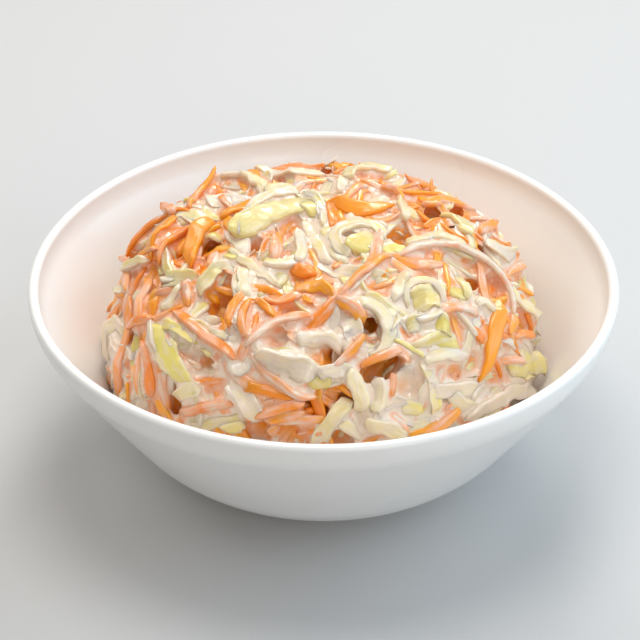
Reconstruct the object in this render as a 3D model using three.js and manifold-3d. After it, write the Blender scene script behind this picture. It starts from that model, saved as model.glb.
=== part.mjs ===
// Coleslaw: a heap of dressed carrot and cabbage shreds in a round white bowl.
// Millimetres, +Z up. The origin is the middle of the bowl's foot, on the table, and the
// front of the heap faces -Y.
import * as THREE from "three";
import { mergeVertices } from "three/addons/utils/BufferGeometryUtils.js";
import Module from "manifold-3d";

const rad = THREE.MathUtils.degToRad;

// ---- the bowl --------------------------------------------------------------------------
const RIM_RADIUS = 100;
const BOWL_HEIGHT = 70;
const WALL = 3.6;
const WALL_SLOPE = rad(57);
const LIP_ARC = 17;
const FOOT_RADIUS = 46;
const FOOT_HEIGHT = 3;
const FOOT_WIDTH = 5;
const FOOT_RECESS = 2;
const BELLY_START = rad(12.5);
const BOWL_SIDES = 48;

// ---- the heap: a flat-topped dome whose skin is the mean level of the shreds -------------
const HEAP_TOP = 88;
const HEAP_SHOULDER = 28;
const HEAP_RADIUS = 74;
const HEAP_SHIFT = -1;
const HEAP_SQUARENESS = 3.1;
const CORE_DEPTH = 1.8;
const CORE_LUMP = 1.3;
const LUMP_LENGTH = 6.5;
const CORE_ROWS = 15;
const GAP = 0.45;

// ---- the shreds --------------------------------------------------------------------------
const KINDS = {
  carrot: { width: 3.6, thick: 2.6 },
  cabbage: { width: 5.4, thick: 2.4 },
  leaf: { width: 6.5, thick: 2.2 },
};
const ROW_LENGTH = 9;
const END_DIP = 1.6;
const TIP_SHARE = 0.45;
const STIFFNESS = 0.45;

// The largest shreds. Each row is a kind; the turn round the heap from the front and the
// rise up it, in degrees; the heading, in degrees from level to the right, and the length;
// then the sideways bow, the width, and the lift above the skin. A last number, where there
// is one, is how far the far end stands off the skin: other ends dip into the heap.
const LARGEST = [
  // the left shoulder
  ["carrot", -124, 54, -164, 28, 3, 3.5, 4, 8],
  ["cabbage", -134, 61, 79, 30, 6, 4, 3],
  ["carrot", -106, 70, 136, 17, 3, 4.5, 2.5],
  ["carrot", -101, 46, 100, 30, 5, 3, 4.5],
  ["carrot", -110, 49, 221, 16, 0, 4, 3, 6],
  ["carrot", -90, 51, 152, 18, 2, 5.5, 1.5],
  ["carrot", -84, 54, 135, 22, 2, 3.2, 2.5],
  ["carrot", -78, 60, 148, 22, 2, 5, 1.5],
  ["carrot", -88, 36, 185, 24, -3, 3, 2.5, 5],
  // the left flank
  ["carrot", -70, 25, -64, 36, 7, 3.2, 1],
  ["carrot", -68, 41, -32, 23, 1, 3, 1],
  ["carrot", -61, 37, 40, 15, 0, 3, 3],
  ["carrot", -52, 28, -66, 20, 2, 3.8, 1.5],
  ["carrot", -54, 26, -69, 17, 0, 2.8, 1],
  ["cabbage", -74, 21, 64, 21, 8, 5, 2],
  ["leaf", -44, 35, -29, 28, 0, 5.5, 2],
  ["leaf", -46, 41, -1, 18, 1, 3.4, 3],
  ["cabbage", -36, 28, 38, 13, 1, 5, 2.5],
  ["cabbage", -50, 57, 88, 16, 1, 5, 2],
  // the front
  ["carrot", -38, 44, -10, 34, 0, 3.6, 3.5],
  ["cabbage", -33, 54, -54, 25, 1, 4, 2],
  ["carrot", -25, 51, -74, 16, -2, 3, 2],
  ["carrot", -14, 49, -141, 25, -3, 3, 4],
  ["cabbage", -10, 44, -1, 16, 5, 8, 1.5],
  ["cabbage", 0, 46, -3, 15, 4, 5, 1.5],
  ["carrot", 8, 45, 38, 18, -1, 3, 3.5],
  ["cabbage", 12, 49, -79, 18, 11, 4.5, 2.5],
  ["carrot", 18, 42, 8, 16, 1, 3, 3],
  ["cabbage", 7, 34, -32, 21, 8, 7.5, 2],
  ["cabbage", 15, 34, -87, 12, 4, 5, 2],
  ["carrot", -31, 25, 29, 26, 1, 4, 1.5],
  ["cabbage", -27, 23, 29, 23, 0, 3.4, 1],
  ["carrot", -11, 30, 24, 20, 0, 3.6, 2],
  ["cabbage", 16, 23, -30, 16, 2, 5.5, 1.5],
  ["carrot", 30, 23, 7, 22, -2, 3.6, 1],
  // the right flank
  ["cabbage", 36, 43, -18, 19, 2, 12, 1],
  ["cabbage", 37, 37, -18, 19, 2, 4.5, 2.5],
  ["leaf", 30, 32, -83, 19, 1, 4.5, 2.5],
  ["cabbage", 54, 11, -18, 44, 5, 4.2, 1.5, 3],
  ["carrot", 56, 35, -147, 33, -1, 4.4, 3.5],
  ["leaf", 69, 18, -28, 30, 0, 8, 3, 6],
  ["carrot", 69, 28, -33, 16, 1, 3, 2.5, 4],
  ["cabbage", 82, 33, -58, 24, -4, 4, 3, 4],
  ["carrot", 49, 45, -23, 18, 2, 3, 2],
  ["cabbage", 43, 53, -30, 13, 7, 4, 2.5],
  ["carrot", 62, 50, -69, 46, 14, 3.6, 3.5],
  // the right shoulder
  ["carrot", 102, 46, -39, 16, 1, 4, 3, 6],
  ["cabbage", 96, 43, -65, 16, -3, 5.5, 3, 4],
  ["cabbage", 97, 57, -157, 15, 4, 6, 2],
  ["cabbage", 76, 61, -78, 20, 3, 4.5, 2],
  ["cabbage", 154, 60, -117, 20, 6, 5, 4.5, 3],
  // the top
  ["cabbage", -166, 59, 155, 26, -4, 4, 2],
  ["cabbage", -140, 73, 118, 12, 5, 5, 2],
  ["cabbage", -89, 79, 128, 35, 4, 9, 3],
  ["cabbage", -40, 65, -7, 27, 0, 3.2, 2],
  ["carrot", -3, 60, -15, 14, 4, 4.6, 2],
  ["cabbage", -8, 79, -64, 26, 1, 4.5, 2],
  ["cabbage", 42, 72, 0, 21, 13, 5.5, 3],
  ["carrot", 27, 69, -137, 38, 4, 4, 2.5],
  ["carrot", 24, 63, 28, 30, 2, 3.6, 2],
  ["carrot", 129, 77, -122, 25, -4, 5, 3],
  ["carrot", 147, 73, -89, 17, 1, 3, 2],
];

// The other shreds lie spread evenly over the heap, and their draws are seeded.
const SPREAD_COUNT = 32;
const SPREAD_LENGTH = [16, 32];
const SPREAD_BOW = 6;
const SPREAD_LIFT = [-0.4, 1.8];
const CLEAR_OF_LARGEST = 9;
const SEED = 4127;

const CERAMIC = new THREE.MeshStandardMaterial({ color: 0xf2f0ec, roughness: 0.18, metalness: 0 });
const SALAD = new THREE.MeshStandardMaterial({ color: 0xe6b98c, roughness: 0.4, metalness: 0 });

const wasm = await Module();
wasm.setup();

// ---- closed surfaces ---------------------------------------------------------------------

// A closed surface of rows of points. The first and last rows are single points.
function closedSurface(rows, sides, pointAt) {
  const positions = [];
  const index = [];
  const first = (row) => (row === 0 ? 0 : 1 + (row - 1) * sides);
  const corner = (row, side) => {
    const single = row === 0 || row === rows - 1;
    return single ? first(row) : first(row) + (side % sides);
  };
  for (let row = 0; row < rows; row += 1) {
    const count = row === 0 || row === rows - 1 ? 1 : sides;
    for (let side = 0; side < count; side += 1) {
      positions.push(...pointAt(row, side).toArray());
    }
  }
  for (let row = 0; row + 1 < rows; row += 1) {
    for (let side = 0; side < sides; side += 1) {
      const [a, b] = [corner(row, side), corner(row, side + 1)];
      const [c, d] = [corner(row + 1, side + 1), corner(row + 1, side)];
      if (a !== b) index.push(a, b, c);
      if (c !== d) index.push(a, c, d);
    }
  }
  const geometry = new THREE.BufferGeometry();
  geometry.setAttribute("position", new THREE.Float32BufferAttribute(positions, 3));
  geometry.setIndex(index);
  return geometry;
}

function atTurn(radius, turn, height) {
  return new THREE.Vector3(radius * Math.sin(turn), -radius * Math.cos(turn), height);
}

// ---- bowl --------------------------------------------------------------------------------

// Points of an arc, from one direction of travel to another (0 is outward, 90 degrees up).
function arc(centre, radius, from, to, steps) {
  const points = [];
  for (let i = 0; i <= steps; i += 1) {
    const t = from + ((to - from) * i) / steps;
    points.push(new THREE.Vector2(centre.x + radius * Math.sin(t), centre.y - radius * Math.cos(t)));
  }
  return points;
}

// The wall is straight between a belly arc that starts at the foot and a lip arc that
// brings the rim upright. The belly's radius is the one that meets the wall smoothly.
function bowlArcs() {
  const lip = new THREE.Vector2(RIM_RADIUS - LIP_ARC, BOWL_HEIGHT - WALL / 2);
  const wallTop = arc(lip, LIP_ARC, WALL_SLOPE, WALL_SLOPE, 1)[0];
  const across = wallTop.x - FOOT_RADIUS;
  const up = wallTop.y - FOOT_HEIGHT;
  const sin = Math.sin(WALL_SLOPE);
  const cos = Math.cos(WALL_SLOPE);
  const bellyRadius =
    (across * sin - up * cos) /
    ((sin - Math.sin(BELLY_START)) * sin - (Math.cos(BELLY_START) - cos) * cos);
  const belly = new THREE.Vector2(
    FOOT_RADIUS - bellyRadius * Math.sin(BELLY_START),
    FOOT_HEIGHT + bellyRadius * Math.cos(BELLY_START),
  );
  return { lip, belly, bellyRadius };
}

const ARCS = bowlArcs();

function innerWall(offset, bellySteps, lipSteps) {
  const up = arc(ARCS.belly, ARCS.bellyRadius - WALL - offset, 0, WALL_SLOPE, bellySteps);
  const lip = arc(ARCS.lip, LIP_ARC - WALL - offset, WALL_SLOPE, Math.PI / 2, lipSteps);
  return [...up, ...lip];
}

// Radius of the bowl's inner wall at a height above the belly.
function wallRadius(height) {
  const line = innerWall(0, 12, 6);
  const next = line.findIndex((point) => point.y >= height);
  if (next < 1) return next === 0 ? line[0].x : Infinity;
  const [low, high] = [line[next - 1], line[next]];
  return low.x + ((high.x - low.x) * (height - low.y)) / (high.y - low.y);
}

function bowlProfile() {
  const { lip, belly, bellyRadius } = ARCS;
  const footInner = FOOT_RADIUS - FOOT_WIDTH;
  const rim = new THREE.Vector2(RIM_RADIUS - WALL / 2, lip.y);
  return [
    new THREE.Vector2(0, FOOT_RECESS),
    new THREE.Vector2(footInner - 1, FOOT_RECESS),
    new THREE.Vector2(footInner + 0.6, 0),
    new THREE.Vector2(FOOT_RADIUS - 0.8, 0),
    new THREE.Vector2(FOOT_RADIUS, 0.8),
    ...arc(belly, bellyRadius, BELLY_START, WALL_SLOPE, 5),
    ...arc(lip, LIP_ARC, WALL_SLOPE, Math.PI / 2, 3),
    ...arc(rim, WALL / 2, Math.PI / 2, 1.5 * Math.PI, 4).slice(1, -1),
    ...innerWall(0, 6, 3).reverse(),
    new THREE.Vector2(0, belly.y - bellyRadius + WALL),
  ];
}

function makeBowl() {
  const profile = bowlProfile();
  const step = (2 * Math.PI) / BOWL_SIDES;
  return closedSurface(profile.length, BOWL_SIDES, (row, side) =>
    atTurn(profile[row].x, side * step, profile[row].y),
  );
}

// ---- the heap's skin -----------------------------------------------------------------------

const HEAP_CENTRE = new THREE.Vector3(HEAP_SHIFT, 0, HEAP_SHOULDER);
const HEAP_RISE = HEAP_TOP - HEAP_SHOULDER;

// How far out a point lies: 1 on the skin, less inside the heap.
function outness(point) {
  const local = point.clone().sub(HEAP_CENTRE);
  const across = Math.hypot(local.x, local.y) / HEAP_RADIUS;
  const up = Math.abs(local.z) / HEAP_RISE;
  return (across ** HEAP_SQUARENESS + up ** HEAP_SQUARENESS) ** (1 / HEAP_SQUARENESS);
}

function ontoSkin(point) {
  const local = point.clone().sub(HEAP_CENTRE);
  return local.divideScalar(outness(point)).add(HEAP_CENTRE);
}

function skinPoint(turn, rise) {
  const away = atTurn(HEAP_RADIUS * Math.cos(rise), turn, HEAP_RISE * Math.sin(rise));
  return ontoSkin(away.add(HEAP_CENTRE));
}

// The skin's own directions at a point: level to the right, uphill, and straight out.
function skinFrame(point) {
  const step = 0.05;
  const slope = (x, y, z) => {
    const nudge = new THREE.Vector3(x, y, z).multiplyScalar(step);
    return outness(point.clone().add(nudge)) - outness(point.clone().sub(nudge));
  };
  const out = new THREE.Vector3(slope(1, 0, 0), slope(0, 1, 0), slope(0, 0, 1)).normalize();
  const right = new THREE.Vector3(0, 0, 1).cross(out).normalize();
  const uphill = out.clone().cross(right);
  return { right, uphill, out };
}

// Moves a ring of points in toward the axis until it clears the bowl's wall.
function keepOffWall(ring) {
  let over = 0;
  for (const point of ring) {
    const facet = Math.cos(Math.PI / BOWL_SIDES);
    over = Math.max(over, Math.hypot(point.x, point.y) - wallRadius(point.z) * facet + GAP);
  }
  for (const point of ring) {
    const radius = Math.hypot(point.x, point.y);
    point.multiply(new THREE.Vector3(1 - over / radius, 1 - over / radius, 1));
  }
  return ring;
}

// ---- the heap's core -------------------------------------------------------------------------

function lump(point) {
  const { x, y, z } = point.clone().divideScalar(LUMP_LENGTH);
  const coarse = Math.sin(x + 0.4 * z) * Math.cos(y - 0.6 * z);
  const fine = Math.sin(1.7 * y + z + 1) * Math.cos(1.5 * x - z);
  return CORE_LUMP * (coarse + 0.6 * fine);
}

function makeCore() {
  const bottom = innerWall(GAP, 6, 3).filter((point) => point.y < HEAP_SHOULDER);
  const floor = bottom[0].y;
  const rows = 1 + bottom.length + CORE_ROWS;
  const turnStep = (2 * Math.PI) / BOWL_SIDES;
  return closedSurface(rows, BOWL_SIDES, (row, side) => {
    const turn = side * turnStep;
    if (row === 0) return atTurn(0, 0, floor);
    if (row <= bottom.length) return atTurn(bottom[row - 1].x, turn, bottom[row - 1].y);
    const rise = ((row - bottom.length) / CORE_ROWS) * (Math.PI / 2);
    const point = skinPoint(turn, Math.min(rise, Math.PI / 2 - 1e-4));
    const { out } = skinFrame(point);
    point.addScaledVector(out, lump(point) - CORE_DEPTH);
    return keepOffWall([point])[0];
  });
}

// ---- the shreds ------------------------------------------------------------------------------

// One shred: a flat strip that follows an arc over the skin, narrows at its ends and dips
// there into the shreds round it.
function makeShred(kind, turn, rise, heading, length, bow, width, lift, tip = -END_DIP) {
  const { thick } = KINDS[kind];
  const rows = 3 + Math.round(length / ROW_LENGTH / (1 + length / 60));
  const middle = skinPoint(rad(turn), rad(rise));
  const { right, uphill, out } = skinFrame(middle);
  const along = right.multiplyScalar(Math.cos(rad(heading)));
  along.addScaledVector(uphill, Math.sin(rad(heading)));
  const side = out.clone().cross(along);
  const ring = (share, size) => {
    const flat = middle.clone().addScaledVector(along, (share * length) / 2);
    flat.addScaledVector(side, bow * (1 - share * share));
    const skin = ontoSkin(flat);
    const local = skinFrame(skin).out;
    const centre = skin.lerp(flat, STIFFNESS);
    const end = share > 0 ? tip : -END_DIP;
    centre.addScaledVector(local, lift + (end - lift) * share ** 4 - thick / 2);
    const tangent = along.clone().addScaledVector(side, (-4 * bow * share) / length).normalize();
    const across = local.clone().cross(tangent).normalize();
    return [[1, -1], [1, 1], [-1, 1], [-1, -1]].map(([w, t]) => {
      const point = centre.clone().addScaledVector(across, (w * size * width) / 2);
      return point.addScaledVector(local, (t * size * thick) / 2);
    });
  };
  const rings = [];
  for (let row = 0; row < rows; row += 1) {
    const share = -1 + (2 * row) / (rows - 1);
    const size = Math.abs(share) === 1 ? TIP_SHARE : 1;
    rings.push(keepOffWall(ring(share, size)));
  }
  const mean = (points) => {
    const sum = points.reduce((total, point) => total.add(point), new THREE.Vector3());
    return sum.divideScalar(points.length);
  };
  return closedSurface(rows + 2, 4, (row, corner) => {
    if (row === 0) return mean(rings[0]);
    if (row === rows + 1) return mean(rings[rows - 1]);
    return rings[row - 1][corner];
  });
}

function seededDraw(seed) {
  let state = seed;
  return () => {
    state = (state * 1664525 + 1013904223) % 4294967296;
    return state / 4294967296;
  };
}

function spreadShreds() {
  const draw = seededDraw(SEED);
  const between = ([low, high]) => low + (high - low) * draw();
  const taken = LARGEST.map((row) => skinPoint(rad(row[1]), rad(row[2])));
  const shreds = [];
  const goldenTurn = 137.508;
  for (let i = 0; i < SPREAD_COUNT * 2 && shreds.length < SPREAD_COUNT; i += 1) {
    const turn = (i * goldenTurn) % 360;
    const rise = THREE.MathUtils.radToDeg(Math.asin((i + 0.5) / (SPREAD_COUNT * 2)));
    const heading = 360 * draw();
    const length = between(SPREAD_LENGTH);
    const bow = SPREAD_BOW * (draw() - 0.5);
    const kind = draw() < 0.55 ? "carrot" : "cabbage";
    const width = KINDS[kind].width * (0.85 + 0.4 * draw());
    const lift = between(SPREAD_LIFT);
    const place = skinPoint(rad(turn), rad(rise));
    if (taken.some((other) => other.distanceTo(place) < CLEAR_OF_LARGEST)) continue;
    shreds.push([kind, turn, rise, heading, length, bow, width, lift]);
  }
  return shreds;
}

// ---- joining -----------------------------------------------------------------------------------

function toSolid(geometry) {
  const plain = mergeVertices(geometry);
  return new wasm.Manifold(
    new wasm.Mesh({
      numProp: 3,
      vertProperties: plain.attributes.position.array,
      triVerts: new Uint32Array(plain.index.array),
    }),
  );
}

function toGeometry(solid) {
  const { vertProperties, triVerts } = solid.getMesh();
  const geometry = new THREE.BufferGeometry();
  geometry.setAttribute("position", new THREE.BufferAttribute(vertProperties, 3));
  geometry.setIndex(new THREE.BufferAttribute(triVerts, 1));
  return geometry;
}

// The largest outer surface of the joined heap: pockets sealed inside it and loose scraps
// are separate surfaces, and are left out.
function outerBody(solid) {
  const parts = solid.decompose();
  return parts.reduce((best, part) => (part.volume() > best.volume() ? part : best));
}

function makeHeap() {
  let heap = toSolid(makeCore());
  for (const row of [...LARGEST, ...spreadShreds()]) {
    heap = heap.add(toSolid(makeShred(...row)));
  }
  return toGeometry(outerBody(heap));
}

// ---- the part ------------------------------------------------------------------------------------

function named(name, geometry, material) {
  geometry.computeVertexNormals();
  const mesh = new THREE.Mesh(geometry, material);
  mesh.name = name;
  return mesh;
}

const coleslaw = new THREE.Group();
coleslaw.add(named("bowl", makeBowl(), CERAMIC));
coleslaw.add(named("coleslaw", makeHeap(), SALAD));

export default coleslaw;
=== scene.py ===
"""Coleslaw: dressed carrot and cabbage shreds heaped in a round white bowl.

The shapes are worked out in millimetres, with +Z up and the front of the heap facing -Y,
and become meshes in metres.
"""

import bmesh
import bpy
import numpy as np
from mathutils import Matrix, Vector
from mathutils.bvhtree import BVHTree


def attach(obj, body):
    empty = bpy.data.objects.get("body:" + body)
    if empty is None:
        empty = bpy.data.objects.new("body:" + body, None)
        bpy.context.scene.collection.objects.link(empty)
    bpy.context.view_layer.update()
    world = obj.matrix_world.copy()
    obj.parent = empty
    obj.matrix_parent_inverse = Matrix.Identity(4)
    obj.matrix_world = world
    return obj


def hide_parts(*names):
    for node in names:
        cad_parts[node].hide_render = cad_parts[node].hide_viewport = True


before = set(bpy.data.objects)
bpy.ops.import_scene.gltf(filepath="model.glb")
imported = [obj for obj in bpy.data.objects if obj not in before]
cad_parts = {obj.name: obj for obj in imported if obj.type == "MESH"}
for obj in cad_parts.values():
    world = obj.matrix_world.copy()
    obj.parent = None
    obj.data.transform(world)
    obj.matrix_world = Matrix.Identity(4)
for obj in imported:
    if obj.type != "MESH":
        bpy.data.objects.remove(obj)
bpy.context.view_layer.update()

MM = 0.001
SEED = 4127
draw = np.random.default_rng(SEED)

# ---- sizes, in millimetres ---------------------------------------------------------------

RIM_RADIUS = 100.0
BOWL_HEIGHT = 70.0
WALL = 3.6
WALL_SLOPE = np.radians(57)
LIP_ARC = 17.0
FOOT_RADIUS = 46.0
FOOT_HEIGHT = 3.0
FOOT_WIDTH = 5.0
FOOT_RECESS = 2.0
BELLY_START = np.radians(12.5)
BOWL_STEPS = 160

HEAP_TOP = 88.0
HEAP_SHOULDER = 28.0
HEAP_RADIUS = 74.0
HEAP_SHIFT = -1.0
SQUARENESS = 3.1
HEAP_RISE = HEAP_TOP - HEAP_SHOULDER
HEAP_CENTRE = np.array([HEAP_SHIFT, 0.0, HEAP_SHOULDER])

CORE_DEPTH = 5.4
WALL_GAP = 0.3
HIGHEST_BED = 2.2
HIGHEST_UNDER = -0.5

# Each kind's width, thickness and length ranges, the squareness of its section, how far it
# cups across its width, how uneven its sides are and over what length, how much it twists,
# how dented it is, how slanting and how blunt its ends are cut, and how far the dressing
# covers it.
KINDS = {
    "carrot": {
        "width": (2.2, 4.4), "thick": (1.4, 2.4), "length": (16, 46), "square": 4.4,
        "cup": 0.0, "ragged": 0.22, "grain": 4.5, "twist": 1.0, "dent": 0.16, "slant": 0.9,
        "film": 0.37, "ends": (1.3, 6.0),
    },
    "cabbage": {
        "width": (3.2, 7.5), "thick": (1.4, 2.5), "length": (10, 32), "square": 5.0,
        "cup": 0.16, "ragged": 0.40, "grain": 3.4, "twist": 0.8, "dent": 0.26, "slant": 0.9,
        "film": 0.60, "ends": (4.0, 14.0),
    },
    "leaf": {
        "width": (3.0, 7.0), "thick": (0.8, 1.3), "length": (7, 20), "square": 3.0,
        "cup": 0.22, "ragged": 0.45, "grain": 3.0, "twist": 0.8, "dent": 0.28, "slant": 0.8,
        "film": 0.66, "ends": (3.0, 10.0),
    },
}

# The largest shreds, in the order that they lie: kind, how far the dressing covers it, turn
# round the heap from the front and rise up it in degrees, heading from level to the right,
# length, bow, width, lift above the skin, and, where there is one, how far the far end
# stands off.
LARGEST = [
    # the left shoulder
    ("carrot", 0.3, -124, 54, -164, 28, 3, 3.5, 4, 8),
    ("carrot", 0.5, -126, 59, 53, 22, -1, 2.4, 2),
    ("cabbage", 0.7, -134, 61, 79, 30, 6, 4, 3),
    ("carrot", 0.35, -86, 67, 15, 15, 1, 4, 1.5),
    ("carrot", 0.12, -106, 70, 136, 18, 3, 5.6, 3),
    ("carrot", 0.25, -101, 46, 100, 30, 5, 2.6, 4.5),
    ("carrot", 0.5, -110, 49, 221, 16, 0, 4, 3, 6),
    ("carrot", 0.05, -90, 51, 152, 21, 2, 7.0, 2),
    ("carrot", 0.1, -78, 60, 148, 24, 2, 6.0, 2),
    ("carrot", 0.6, -84, 54, 135, 22, 2, 3.2, 2.5),
    ("carrot", 0.4, -85, 46, 60, 12, 1, 2.6, 2),
    ("carrot", 0.6, -88, 36, 185, 24, -3, 3, 2.5, 5),
    ("cabbage", 0.6, -85, 42, 54, 16, 0, 2.6, 2),
    # the left flank
    ("cabbage", 0.6, -74, 21, 64, 21, 8, 5, 2),
    ("carrot", 0.42, -70, 25, -64, 36, 7, 3.2, 1),
    ("carrot", 0.55, -68, 41, -32, 23, 1, 3, 1),
    ("carrot", 0.4, -54, 26, -69, 17, 0, 2.8, 1),
    ("carrot", 0.2, -52, 28, -66, 20, 2, 3.8, 1.5),
    ("cabbage", 0.5, -56, 20, -45, 10, -4, 4, 1.5),
    ("carrot", 0.5, -61, 37, 40, 15, 0, 3, 3),
    ("cabbage", 0.7, -57, 47, -73, 11, -1, 4.5, 2),
    ("carrot", 0.5, -54, 50, -37, 11, 0, 3.2, 2),
    ("cabbage", 0.45, -50, 57, 88, 16, 1, 5, 2),
    ("carrot", 0.65, -58, 60, -37, 11, 0, 3.6, 3),
    # the front, from the rim up
    ("carrot", 0.4, -12, 24, 51, 6, 0, 3.2, 1),
    ("carrot", 0.4, -2, 24, 8, 11, 1, 3, 1),
    ("cabbage", 0.4, -27, 23, 29, 23, 0, 3.4, 1),
    ("leaf", 0.4, -22, 23, 28, 8, 0, 4, 1),
    ("carrot", 0.55, -31, 25, 29, 26, 1, 4, 1.5),
    ("carrot", 0.5, -9, 28, 21, 15, 1, 4, 1),
    ("carrot", 0.55, -11, 30, 24, 20, 0, 3.6, 2),
    ("cabbage", 0.5, 8, 25, -48, 10, 0, 4.2, 2),
    ("cabbage", 0.55, 16, 23, -30, 16, 2, 5.5, 1.5),
    ("carrot", 0.3, 30, 23, 7, 22, -2, 3.6, 1),
    ("carrot", 0.6, -10, 39, -28, 26, -3, 2.4, 2),
    ("leaf", 0.16, -44, 35, -29, 28, 0, 8.5, 3.6),
    ("cabbage", 0.9, -50, 36, -37, 20, -1, 1.8, 3.2),
    ("leaf", 0.15, -46, 41, -1, 18, 1, 3.4, 3),
    ("cabbage", 0.5, -36, 28, 38, 13, 1, 5, 2.5),
    ("cabbage", 0.6, -33, 45, -5, 11, 0, 2.8, 2.5),
    ("carrot", 0.55, -38, 44, -10, 34, 0, 3.6, 3.5),
    ("cabbage", 0.75, 4, 39, 1, 11, 2, 4.6, 2.5),
    ("cabbage", 0.7, 9, 35, -73, 15, 1, 5, 3),
    ("cabbage", 0.75, 14, 34, -107, 11, 2, 4.4, 3),
    ("carrot", 0.3, 20, 35, -107, 10, 0, 2.4, 1.5),
    ("cabbage", 0.8, -10, 41, -12, 21, 1, 7.6, 2.4),
    ("carrot", 0.4, -8, 48, -43, 8, 0, 2.6, 2.5),
    ("cabbage", 0.7, 0, 46, -3, 15, 4, 5, 1.5),
    ("cabbage", 0.7, -33, 54, -54, 25, 1, 4, 2),
    ("carrot", 0.35, -25, 51, -74, 16, -2, 2.2, 2),
    ("carrot", 0.35, -21, 54, -31, 13, 1, 2.4, 3.5),
    ("carrot", 0.8, -14, 49, -141, 25, -3, 3, 4),
    ("cabbage", 0.6, 12, 49, -79, 18, 11, 4.5, 2.5),
    ("carrot", 0.35, 11, 55, -53, 13, 1, 4.2, 2),
    ("carrot", 0.45, 8, 45, 38, 18, -1, 3, 3.5),
    ("carrot", 0.45, 18, 42, 8, 16, 1, 3, 3),
    ("carrot", 0.12, -3, 60, -15, 14, 4, 4.6, 2),
    ("carrot", 0.6, -17, 59, 30, 13, -2, 3.2, 2.5),
    ("carrot", 0.3, -31, 52, 103, 15, 1, 2.8, 2),
    ("cabbage", 0.6, -37, 59, 131, 14, -1, 4.5, 2.5),
    ("carrot", 0.2, -10, 69, -11, 9, -2, 4.5, 2.5),
    ("cabbage", 0.7, -29, 70, 30, 12, -3, 3.9, 2),
    ("carrot", 0.7, -39, 72, 124, 13, -1, 4.6, 3, 8),
    ("cabbage", 0.8, -21, 74, 113, 13, -1, 3.6, 3, 7),
    # the right flank
    ("leaf", 0.3, 24, 27, -22, 10, 1, 5, 1),
    ("leaf", 0.35, 30, 32, -83, 19, 1, 6.0, 2.5),
    ("cabbage", 0.42, 36, 41, -14, 19, 1, 8.0, 2.0),
    ("cabbage", 0.2, 36, 46, -26, 17, 2, 6.4, 1.5),
    ("cabbage", 0.7, 37, 37, -18, 19, 2, 4.5, 2.5),
    ("leaf", 0.2, 27, 43, -49, 12, 0, 2.2, 2.5),
    ("cabbage", 0.9, 54, 14, -18, 44, 5, 5.4, 3.5, 5),
    ("leaf", 0.2, 72, 14, -27, 23, 0, 4.8, 2.5),
    ("leaf", 0.3, 69, 19, -28, 32, 0, 9, 3.5, 6),
    ("carrot", 0.5, 61, 25, -28, 14, 1, 3, 2),
    ("carrot", 0.4, 69, 28, -33, 16, 1, 3, 2.5, 4),
    ("cabbage", 0.5, 82, 33, -58, 24, -4, 4, 3, 4),
    ("cabbage", 0.7, 59, 42, -60, 8, 3, 3.4, 2),
    ("carrot", 0.6, 49, 45, -23, 18, 2, 3, 2),
    ("cabbage", 0.7, 38, 50, -19, 12, -3, 2.6, 3),
    ("cabbage", 0.4, 60, 50, -138, 14, 0, 3.4, 1.5),
    ("carrot", 0.3, 57, 54, -142, 18, 0, 1.6, 2),
    ("cabbage", 0.35, 41, 52, -28, 11, 1, 9.0, 2.2),
    ("cabbage", 0.75, 40, 51, -25, 12, 9, 2.4, 3),
    ("cabbage", 0.7, 34, 58, 37, 12, -1, 3.8, 3, 5),
    ("carrot", -0.35, 56, 35, 33, 33, 1, 5.2, 4),
    # the right shoulder
    ("carrot", 0.4, 102, 46, -39, 16, 1, 4, 3, 6),
    ("cabbage", 0.8, 96, 43, -65, 16, -3, 5.5, 3, 4),
    ("cabbage", 0.2, 97, 57, -157, 15, 4, 6, 2),
    ("carrot", 0.5, 112, 60, -90, 8, -1, 2.6, 2),
    ("cabbage", 0.5, 76, 61, -78, 20, 3, 4.5, 2),
    ("leaf", 0.15, 54, 67, -44, 8, 3, 4.5, 2),
    ("carrot", 1.15, 62, 50, -69, 46, 14, 4.0, 5),
    ("cabbage", 0.35, 154, 60, -117, 20, 6, 5, 4.5, 3),
    # the top
    ("cabbage", 0.8, -166, 59, 155, 26, -4, 4, 2),
    ("carrot", 0.4, 170, 59, -104, 13, -1, 2.2, 3),
    ("carrot", 0.3, 130, 66, -167, 11, 1, 2, 2),
    ("cabbage", 0.6, 108, 68, 167, 18, 0, 4, 2),
    ("cabbage", 0.6, -140, 73, 118, 12, 5, 5, 2),
    ("carrot", 0.5, 147, 73, -89, 17, 1, 3, 2),
    ("carrot", 0.4, 90, 87, -173, 16, 0, 4, 2),
    ("carrot", 0.06, 129, 77, -122, 26, -4, 6.2, 3.8),
    ("cabbage", 0.12, -80, 78, 119, 31, 3, 9.8, 6.2),
    ("cabbage", 0.15, -127, 86, 80, 11, 1, 6.4, 4.5),
    ("cabbage", 0.85, -96, 77, 149, 34, 7, 3.6, 6.4),
    ("cabbage", 0.7, -144, 86, 74, 23, 3, 3.4, 5.5),
    ("cabbage", 0.6, -160, 84, 88, 22, 2, 3.5, 3),
    ("cabbage", 0.6, -8, 79, -64, 26, 1, 4.5, 2),
    ("cabbage", 0.5, 14, 77, -84, 21, 0, 4.5, 2),
    ("cabbage", 0.6, -40, 65, -7, 27, 0, 3.2, 2),
    ("cabbage", 0.3, 41, 72, 10, 12, 1, 9.5, 2.0),
    ("cabbage", 0.55, 42, 72, 0, 15, 12, 4.6, 3.5),
    ("carrot", 0.7, 27, 69, -137, 38, 4, 4, 2.5),
    ("carrot", 0.55, 24, 63, 28, 30, 2, 3.6, 2),
]

DEEP_COUNT = 380
UNDER_COUNT = 500
KIND_SHARES = [0.54, 0.40, 0.06]
FILM_SPREAD = 0.26
BOW_SPREAD = 0.12
TIP_SHARE = 0.22
TIP_RANGE = (1.0, 4.5)
# How strongly the upper ones keep clear of the hollows.
HOLLOWS_KEPT = 0.7
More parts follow.
